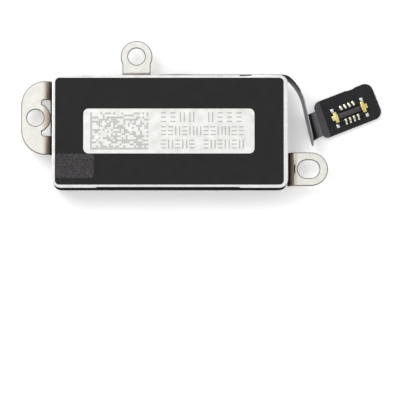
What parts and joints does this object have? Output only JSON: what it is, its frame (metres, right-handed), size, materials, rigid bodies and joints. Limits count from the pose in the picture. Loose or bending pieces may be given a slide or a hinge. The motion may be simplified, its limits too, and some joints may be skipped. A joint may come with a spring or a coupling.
{
  "type": "linear vibration motor",
  "caption": "Flat rectangular haptic actuator: steel case with three screw ears, a sprung magnet mass inside, and a flexible tail ending in a board-to-board connector.",
  "frame": {"origin": "centre of the case on the outer face of the front label, which is the flat face the part can lie on", "axes": "+Z from the front label to the cover, +X along the case towards the flexible tail and its connector, +Y to the long side that the tail leaves from"},
  "size_m": [0.0329, 0.0137, 0.0034],
  "materials": {
    "tray_steel": "polished",
    "cover_steel": "satin",
    "front_label_film": "matte",
    "back_label_film": "matte",
    "id_metal": "satin",
    "rough_patch": "matte",
    "ear_steel": "satin",
    "weld_steel": "satin",
    "black_sealant": "gloss",
    "flex_film": "satin",
    "inner_flex_film": "satin",
    "coil_copper": "satin",
    "solder": "gloss",
    "sensor_epoxy": "satin",
    "stop_steel": "satin",
    "spring_steel": "polished",
    "heavy_alloy": "satin",
    "magnet_plating": "gloss",
    "stiffener_steel": "satin",
    "housing_plastic": "satin",
    "contact_metal": "gloss",
    "power_gold": "gloss"
  },
  "bodies": {
    "case": {"case_tray": "tray_steel", "case_cover": "cover_steel", "front_label": "front_label_film", "back_label": "back_label_film", "id_plate": "id_metal", "ground_patch": "rough_patch", "north_ear": "ear_steel", "west_ear": "ear_steel", "east_ear": "ear_steel", "ear_welds": "weld_steel", "cable_sealant": "black_sealant", "flex_tail": "flex_film", "flex_neck": "flex_film", "internal_flex": "inner_flex_film", "lower_coil": "coil_copper", "upper_coil": "coil_copper", "solder_joints": "solder", "position_sensor": "sensor_epoxy", "travel_stops": "stop_steel", "case_spring_clamps": "stop_steel", "left_spring": "spring_steel", "right_spring": "spring_steel"},
    "moving_mass": {"mass_frame": "heavy_alloy", "left_magnet": "magnet_plating", "centre_magnet": "magnet_plating", "right_magnet": "magnet_plating", "mass_spring_clamps": "stop_steel"},
    "connector_head": {"head_flex": "flex_film", "head_stiffener": "stiffener_steel", "connector_housing": "housing_plastic", "signal_contacts": "contact_metal", "power_contacts": "power_gold", "corner_pads": "solder"}
  },
  "joints": [
    {"name": "mass_slide", "type": "slide", "parent": "case", "child": "moving_mass", "axis": [1, 0, 0], "range_m": [-0.00055, 0.00055], "stiffness_N_per_m": 1800, "deforming": ["left_spring", "right_spring"]},
    {"name": "neck_flex", "type": "hinge", "parent": "case", "child": "connector_head", "pos_m": [0.01321, 0.00079, 0.0006], "axis": [0.3665, -0.9304, 0], "range_deg": [-20, 60], "stiffness_Nm_per_rad": 0.0002, "deforming": ["flex_neck"]}
  ]
}
